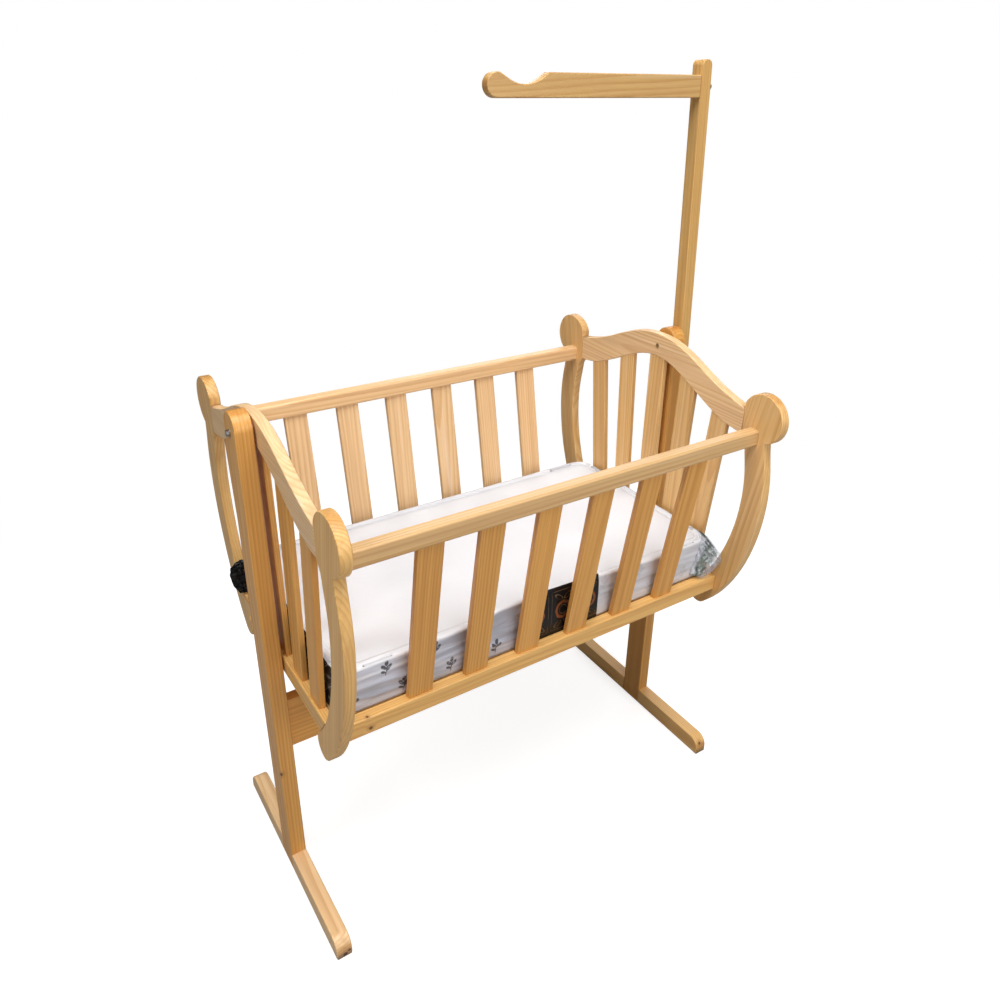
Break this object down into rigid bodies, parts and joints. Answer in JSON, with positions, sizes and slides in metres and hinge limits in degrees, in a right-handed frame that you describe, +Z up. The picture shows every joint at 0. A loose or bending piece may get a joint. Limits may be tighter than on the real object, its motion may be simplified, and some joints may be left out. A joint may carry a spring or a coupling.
{
  "type": "swinging cradle",
  "caption": "Slatted pine cradle that swings between two posts, with a mattress, and a tall pole with a hooked arm for a net.",
  "frame": {"origin": "on the floor, in the middle of the whole object's length and width, between the feet", "axes": "+Z up, +X along the rails towards the post that carries the net pole, +Y to the back"},
  "size_m": [0.984, 0.6998, 1.5091],
  "materials": {
    "pine": "clear lacquered pine, straight grain, satin",
    "plywood": "plain plywood",
    "cover": "white cover with a clear film on its sides",
    "steel": "zinc-plated"
  },
  "bodies": {
    "stand": {"left_post": "pine", "right_post": "pine", "left_foot": "pine", "right_foot": "pine", "stretcher": "pine", "net_pole": "pine", "net_arm": "pine", "pivot_bolt_left": "steel", "pivot_washer_left": "steel", "pivot_spacer_left": "steel", "pivot_nut_left": "steel", "pivot_bolt_right": "steel", "pivot_washer_right": "steel", "pivot_spacer_right": "steel", "pivot_nut_right": "steel", "pole_screw": "steel", "pole_washer": "steel", "arm_screw": "steel", "arm_washer": "steel"},
    "cradle": {"leg_left_front": "pine", "leg_left_back": "pine", "leg_right_front": "pine", "leg_right_back": "pine", "arch_left": "pine", "arch_right": "pine", "end_rail_left": "pine", "end_rail_right": "pine", "end_slat_left_1": "pine", "end_slat_left_2": "pine", "end_slat_left_3": "pine", "end_slat_left_4": "pine", "end_slat_left_5": "pine", "end_slat_right_1": "pine", "end_slat_right_2": "pine", "end_slat_right_3": "pine", "end_slat_right_4": "pine", "end_slat_right_5": "pine", "top_rail_front": "pine", "top_rail_back": "pine", "bottom_rail_front": "pine", "bottom_rail_back": "pine", "front_slat_1": "pine", "front_slat_2": "pine", "front_slat_3": "pine", "front_slat_4": "pine", "front_slat_5": "pine", "front_slat_6": "pine", "back_slat_1": "pine", "back_slat_2": "pine", "back_slat_3": "pine", "back_slat_4": "pine", "back_slat_5": "pine", "back_slat_6": "pine", "board_cleat_front": "pine", "board_cleat_back": "pine", "mattress_board": "plywood", "mattress": "cover"}
  },
  "joints": [
    {"name": "cradle_swing", "type": "hinge", "parent": "stand", "child": "cradle", "pos_m": [0, 0, 0.96], "axis": [1, 0, 0], "range_deg": [-15, 15]}
  ]
}
